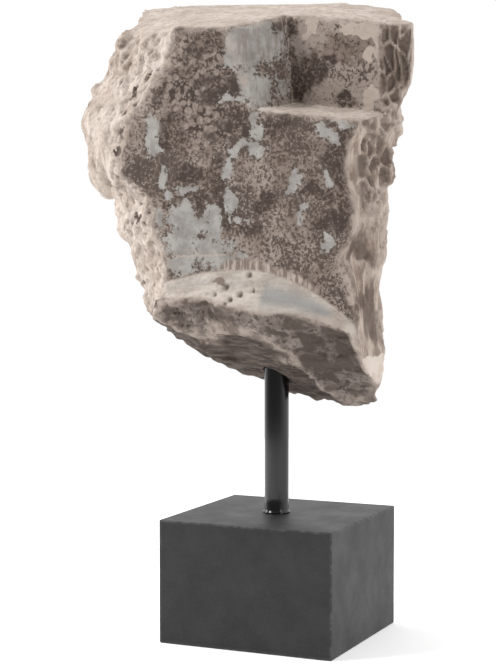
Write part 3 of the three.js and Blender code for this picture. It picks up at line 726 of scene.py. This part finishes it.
# Colours of the stone, as linear reflectances
CREAM = (0.66, 0.575, 0.51)
CREAM_DEEP = (0.5, 0.415, 0.355)
CREAM_DUST = (0.27, 0.205, 0.165)
PATINA_PALE = (0.36, 0.3, 0.26)
PATINA_LIGHT = (0.235, 0.183, 0.152)
PATINA_DARK = (0.1, 0.075, 0.062)
PATINA_DEEP = (0.07, 0.05, 0.041)
GREY = (0.42, 0.4, 0.375)
GREY_DEEP = (0.29, 0.27, 0.25)
LIP = (0.62, 0.55, 0.49)
LIP_DEEP = (0.42, 0.36, 0.31)
SLATE = (0.42, 0.41, 0.395)
SLATE_DEEP = (0.27, 0.26, 0.25)
UNDER_PALE = (0.3, 0.255, 0.225)
UNDER_LIGHT = (0.16, 0.125, 0.105)
UNDER_DEEP = (0.06, 0.045, 0.038)


def stone_material():
    s = Shader("weathered_stone")
    plane, flank, facet, side = s.channels("zone_a")
    lip, wall, step_back, top = s.channels("zone_b")
    strata, hollow, scallop, edge = s.channels("zone_c")
    grey_mark, dark_mark, crust_mark, pale_mark = s.channels("marks")
    slate, scratch, skin, step_floor = s.channels("tints")
    drift = s.noise(60, 3, 0.5, output=1)
    push = s.node("ShaderNodeVectorMath", inputs={0: drift, "Scale": 0.009}, operation="SCALE")
    warped = s.place(shift=push)
    fine = s.noise(300, 4, 0.65)
    coarse = s.noise(34, 5, 0.6)
    ragged = s.math("MULTIPLY", s.math("SUBTRACT", s.noise(130, 4, 0.7), 0.5), 0.5)

    def mask(mark, low=0.44, high=0.56):
        return s.ramp(s.math("ADD", mark, ragged), low, high)

    # Clean broken stone, cream with darker dust in its pits
    cream = s.mix(s.ramp(coarse, 0.35, 0.65), CREAM_DEEP, CREAM)
    cream = s.mix(s.ramp(s.noise(150, 4, 0.7), 0.55, 0.35, 0.0, 0.5), cream, CREAM_DUST)
    streaks = s.noise(300, 3, 0.6, s.place((0.12, 0.5, 1)))
    cream = s.mix(s.math("MULTIPLY", top, s.ramp(streaks, 0.5, 0.7, 0, 0.5)), cream, CREAM_DEEP)
    # Patina of the sawn reverse: speckled, crusted with pale grains, or dark
    cloud = s.math("MULTIPLY", s.math("SUBTRACT", s.noise(24, 4, 0.65), 0.5), 0.55)
    speck = s.math("ADD", s.noise(330, 5, 0.62, warped, 0.5), cloud)
    light = s.mix(s.ramp(coarse, 0.35, 0.65), PATINA_LIGHT, PATINA_PALE)
    speckle = s.mix(s.ramp(speck, 0.42, 0.6), PATINA_DARK, light)
    grain = s.ramp(s.cells(150, at=warped, jitter=0.95), 0.66, 0.4)
    small = s.ramp(s.cells(290, at=warped, jitter=0.95), 0.55, 0.35)
    grain = s.math("MAXIMUM", grain, s.math("MULTIPLY", small, 0.7))
    grain = s.math("MULTIPLY", grain, s.ramp(s.noise(60, 3), 0.32, 0.56, 0.15, 1.0))
    crust = s.mix(grain, PATINA_DEEP, s.mix(s.ramp(fine, 0.35, 0.65), PATINA_LIGHT, PATINA_PALE))
    deep = s.mix(s.ramp(speck, 0.45, 0.7), PATINA_DEEP, PATINA_LIGHT)
    grey = s.mix(s.ramp(s.noise(60, 5, 0.65), 0.35, 0.65), GREY_DEEP, GREY)
    runs = s.ramp(s.noise(220, 4, 0.65, s.place((1, 1, 0.12))), 0.45, 0.66, 0.0, 0.6)
    grey = s.mix(s.math("MULTIPLY", runs, wall), grey, PATINA_LIGHT)
    lines = s.ramp(s.noise(120, 5, 0.7, s.place((0.07, 1, 1))), 0.5, 0.62, 0.0, 0.8)
    grey = s.mix(s.math("MULTIPLY", lines, scratch), grey, CREAM_DEEP)
    strands = s.mix(s.ramp(s.noise(300, 3, 0.6, s.place((1, 1, 0.12))), 0.42, 0.6), PATINA_LIGHT, CREAM_DEEP)
    patina = s.mix(mask(crust_mark), speckle, crust)
    # Dark marks, mostly patina, with painted shade at the step's corner on its wall
    patina = s.mix(mask(dark_mark, 0.4, 0.62), patina, deep)
    greyed = s.math("ADD", grey_mark, s.math("MULTIPLY", s.math("SUBTRACT", speck, 0.5), 0.9))
    patina = s.mix(s.ramp(s.math("ADD", greyed, ragged), 0.42, 0.6), patina, grey)
    # Pale strands on the reverse where the pale marks lie, chiefly the painted highlight along the lip's
    # crest
    patina = s.mix(s.math("MULTIPLY", plane, mask(pale_mark, 0.35, 0.7)), patina, strands)
    back = s.mix(s.ramp(speck, 0.34, 0.5), PATINA_DARK, PATINA_PALE)
    back = s.mix(mask(crust_mark), back, s.mix(s.ramp(fine, 0.4, 0.6), crust, PATINA_LIGHT))
    # Dark marks on the step's back wall, including the painted shade down its corner
    back = s.mix(mask(dark_mark, 0.38, 0.66), back, deep)
    colour = s.mix(s.math("ADD", plane, wall), cream, patina)
    colour = s.mix(step_back, colour, back)
    # Lip, pale with bluish grey, and the underside, dull and dark
    lip_tone = s.mix(s.ramp(s.noise(90, 4, 0.65, s.place((0.4, 1, 1))), 0.35, 0.65), LIP_DEEP, LIP)
    lip_tone = s.mix(slate, lip_tone, s.mix(s.noise(140, 3, 0.6, s.place((0.15, 1, 1))), SLATE_DEEP, SLATE))
    lip_tone = s.mix(mask(dark_mark), lip_tone, PATINA_LIGHT)
    colour = s.mix(lip, colour, lip_tone)
    layers = s.noise(260, 4, 0.65, s.place((0.18, 0.18, 1)))
    shade = s.mix(s.ramp(layers, 0.35, 0.65), UNDER_DEEP, UNDER_LIGHT)
    dull = s.mix(s.ramp(s.noise(70, 5, 0.65), 0.35, 0.65), UNDER_LIGHT, UNDER_PALE)
    dull = s.mix(s.ramp(s.noise(170, 4, 0.7, warped), 0.52, 0.6, 0, 0.8), dull, UNDER_DEEP)
    dull = s.mix(mask(dark_mark, 0.38, 0.66), dull, s.mix(speck, UNDER_DEEP, UNDER_LIGHT))
    colour = s.mix(strata, colour, shade)
    colour = s.mix(facet, colour, dull)
    colour = s.mix(s.math("MULTIPLY", flank, mask(dark_mark)), colour, deep)
    # Right side: dark ovals between pale ridges, in the hollows of the scallops, partly patina and partly
    # painted shade
    side_tone = s.mix(s.ramp(s.noise(120, 4, 0.65, s.place((1, 1, 0.3))), 0.4, 0.6), CREAM_DUST, CREAM_DEEP)
    side_tone = s.mix(mask(pale_mark), side_tone, CREAM)
    colour = s.mix(side, colour, side_tone)
    colour = s.mix(s.math("MULTIPLY", scallop, s.ramp(s.noise(30, 3), 0.3, 0.5, 0.65, 1.0)), colour,
                   s.mix(speck, PATINA_DEEP, PATINA_LIGHT))
    rim = s.math("MULTIPLY", edge, s.ramp(s.noise(70, 4, 0.7), 0.42, 0.6, 0.0, 0.8))
    colour = s.mix(rim, colour, CREAM_DEEP)
    colour = s.mix(s.math("MULTIPLY", step_back, mask(pale_mark)), colour, CREAM_DEEP)
    # Painted shade, dark brown, in the pits, nicks, holes and crease
    colour = s.mix(s.math("MULTIPLY", hollow, 0.8), colour, (0.12, 0.085, 0.068))
    height = s.math("ADD", s.math("MULTIPLY", fine, 0.5), s.math("MULTIPLY", s.noise(110, 5, 0.65), 1.0))
    normal = s.bump(height, 0.0045, 1.0)
    return s.finish(Base_Color=colour, Roughness=0.88, Normal=normal, **{"Specular_IOR_Level": 0.25})


def rod_material():
    s = Shader("black_lacquer")
    wave = s.noise(40, 2, 0.5, s.place((1, 1, 0.2)))
    speck = s.noise(900, 2, 0.5)
    return s.finish(Base_Color=(0.003, 0.003, 0.0035), Roughness=s.ramp(wave, 0.3, 0.7, 0.1, 0.18),
                    Normal=s.bump(s.math("ADD", wave, s.math("MULTIPLY", speck, 0.04)), 0.0005, 0.4),
                    **{"Specular_IOR_Level": 0.5})


def bead_material():
    s = Shader("foot_bead")
    wave = s.noise(300, 3, 0.6)
    return s.finish(Base_Color=s.mix(wave, (0.25, 0.25, 0.26), (0.5, 0.5, 0.51)), Roughness=0.3, Metallic=1.0,
                    Normal=s.bump(wave, 0.0005, 0.5))


def block_material(low, high):
    s = Shader("dark_block")
    mottle = s.noise(26, 8, 0.7)
    speck = s.noise(420, 3, 0.6)
    colour = s.mix(s.ramp(mottle, 0.3, 0.7), (0.009, 0.009, 0.0098), (0.017, 0.0172, 0.0185))
    colour = s.mix(s.ramp(speck, 0.55, 0.75, 0, 0.5), colour, (0.035, 0.035, 0.037))
    split = s.node("ShaderNodeSeparateXYZ", inputs={0: s.place()}).node.outputs
    near = []
    for axis in range(3):
        middle, half = (low[axis] + high[axis]) / 2, (high[axis] - low[axis]) / 2
        away = s.math("ABSOLUTE", s.math("SUBTRACT", split[axis], middle))
        near.append(s.ramp(away, half - 0.0035, half - 0.0004))
    pairs = [s.math("MINIMUM", near[a], near[b]) for a, b in ((0, 1), (1, 2), (0, 2))]
    wear = s.math("MAXIMUM", s.math("MAXIMUM", pairs[0], pairs[1]), pairs[2])
    wear = s.math("MULTIPLY", wear, s.ramp(s.noise(130, 4, 0.7), 0.4, 0.65, 0.1, 0.8))
    colour = s.mix(wear, colour, (0.07, 0.07, 0.072))
    return s.finish(Base_Color=colour, Roughness=s.ramp(mottle, 0.3, 0.7, 0.58, 0.48),
                    Normal=s.bump(speck, 0.0003, 0.5), **{"Specular_IOR_Level": 0.45})


def build_rod():
    """The rod with its rounded foot bead, turned from one profile."""
    low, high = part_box("support_rod")
    bead = (high[0] - low[0]) / 2
    radius = bead - 0.0016
    axis = Vector(((low[0] + high[0]) / 2, (low[1] + high[1]) / 2, 0))
    rise = [(0, 0), (bead - 0.0003, 0), (bead, 0.0006), (bead - 0.0004, 0.0014), (bead - 0.0011, 0.0021),
            (radius + 0.0002, 0.0026), (radius, 0.0032)]
    profile = [(r, low[2] + h) for r, h in rise]
    steps = 12
    length = high[2] - low[2] - 0.0042
    profile += [(radius, low[2] + 0.0032 + length * k / steps) for k in range(1, steps + 1)]
    profile += [(radius - 0.001, high[2]), (0, high[2])]
    turns = 96
    shape = bmesh.new()
    rings = []
    for r, z in profile:
        count = turns if r else 1
        rings.append([shape.verts.new(axis + Vector((r * math.cos(2 * math.pi * k / turns),
                                                     r * math.sin(2 * math.pi * k / turns), z)))
                      for k in range(count)])
    for a, b in zip(rings, rings[1:]):
        for k in range(turns):
            ring = [a[k % len(a)], a[(k + 1) % len(a)], b[(k + 1) % len(b)], b[k % len(b)]]
            shape.faces.new(list(dict.fromkeys(ring)))
    for face in shape.faces:
        face.smooth = True
        face.material_index = int(face.calc_center_median().z < low[2] + 0.0026)
    mesh = bpy.data.meshes.new("rod")
    shape.to_mesh(mesh)
    shape.free()
    rod = bpy.data.objects.new("lacquered_rod", mesh)
    scene.collection.objects.link(rod)
    return rod


def build_block():
    """The block, with its edges slightly rounded."""
    low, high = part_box("plinth_block")
    shape = bmesh.new()
    bmesh.ops.create_cube(shape, size=1)
    for v in shape.verts:
        v.co = Vector([low[k] + (v.co[k] + 0.5) * (high[k] - low[k]) for k in range(3)])
    bmesh.ops.bevel(shape, geom=list(shape.edges), offset=0.0016, segments=4, profile=0.5, affect="EDGES")
    for face in shape.faces:
        face.smooth = True
    mesh = bpy.data.meshes.new("block")
    shape.to_mesh(mesh)
    shape.free()
    block = bpy.data.objects.new("plinth_block_finished", mesh)
    scene.collection.objects.link(block)
    normals = block.modifiers.new("normals", "WEIGHTED_NORMAL")
    normals.keep_sharp = True
    return block


def floor_material():
    s = Shader("pale_floor")
    tone = s.noise(3, 2, 0.5)
    colour = s.mix(tone, (0.9, 0.9, 0.9), (0.92, 0.92, 0.92))
    return s.finish(Base_Color=colour, Roughness=0.9, Emission_Color=(1, 1, 1), Emission_Strength=0.25)


def paint(obj, material):
    obj.data.materials.clear()
    obj.data.materials.append(material)


def area_light(name, place, aim, width, height, power, colour=(1, 1, 1)):
    data = bpy.data.lights.new(name, "AREA")
    data.shape = "RECTANGLE"
    data.size, data.size_y = width, height
    data.energy = power
    data.color = colour
    light = bpy.data.objects.new(name, data)
    light.location = place
    light.rotation_euler = (Vector(aim) - Vector(place)).to_track_quat("-Z", "Y").to_euler()
    scene.collection.objects.link(light)
    return light


# Camera: behind the head, a little above the block, eye level at about two thirds of the height
CAMERA_AT = Vector((-0.6940, 1.6238, 0.4178))
CAMERA_RIGHT = Vector((-0.91212, -0.40992, 0))
CAMERA_BACK = Vector((-0.40917, 0.91045, 0.06052))
LENS = 93.9


def make_camera():
    data = bpy.data.cameras.new("camera")
    data.lens = LENS
    data.sensor_width = 36
    data.clip_end = 60
    camera = bpy.data.objects.new("camera", data)
    back = CAMERA_BACK.normalized()
    up = back.cross(CAMERA_RIGHT).normalized()
    right = up.cross(back)
    camera.matrix_world = Matrix.Translation(CAMERA_AT) @ Matrix((right, up, back)).transposed().to_4x4()
    scene.collection.objects.link(camera)
    scene.camera = camera


def make_studio():
    bpy.ops.mesh.primitive_circle_add(vertices=96, radius=1.65, fill_type="NGON")
    floor = bpy.context.object
    floor.name = "floor"
    paint(floor, floor_material())
    world = bpy.data.worlds.new("studio")
    world.use_nodes = True
    nodes, links = world.node_tree.nodes, world.node_tree.links
    background = nodes["Background"]
    background.inputs["Color"].default_value = (1, 1, 1, 1)
    # White backdrop behind the head, a dimmer room on the other side, and plain white where it is seen
    direction = nodes.new("ShaderNodeTexCoord")
    split = nodes.new("ShaderNodeSeparateXYZ")
    links.new(direction.outputs["Generated"], split.inputs[0])
    room = nodes.new("ShaderNodeMapRange")
    room.interpolation_type = "SMOOTHSTEP"
    for key, value in {"From Min": -0.35, "From Max": 0.75, "To Min": 1.2, "To Max": 0.25}.items():
        room.inputs[key].default_value = value
    links.new(split.outputs["Y"], room.inputs["Value"])
    seen = nodes.new("ShaderNodeLightPath")
    choice = nodes.new("ShaderNodeMix")
    links.new(seen.outputs["Is Camera Ray"], choice.inputs["Factor"])
    links.new(room.outputs[0], choice.inputs["A"])
    choice.inputs["B"].default_value = 1.0
    links.new(choice.outputs["Result"], background.inputs["Strength"])
    scene.world = world
    scene.view_settings.view_transform = "Standard"
    middle = (0, 0, 0.45)
    area_light("key", (1.5, 1.2, 1.9), middle, 0.8, 0.8, 42)
    area_light("left", (2.1, 0.1, 0.9), middle, 0.6, 1.2, 16)
    area_light("right", (-1.9, 0.8, 1.1), middle, 0.6, 1.2, 15)


make_camera()
make_studio()
stone = build_stone()
paint(stone, stone_material())
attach(stone, "root")
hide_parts("bust_fragment")
rod = build_rod()
paint(rod, rod_material())
rod.data.materials.append(bead_material())
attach(rod, "root")
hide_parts("support_rod")
block = build_block()
paint(block, block_material(*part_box("plinth_block")))
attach(block, "root")
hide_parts("plinth_block")
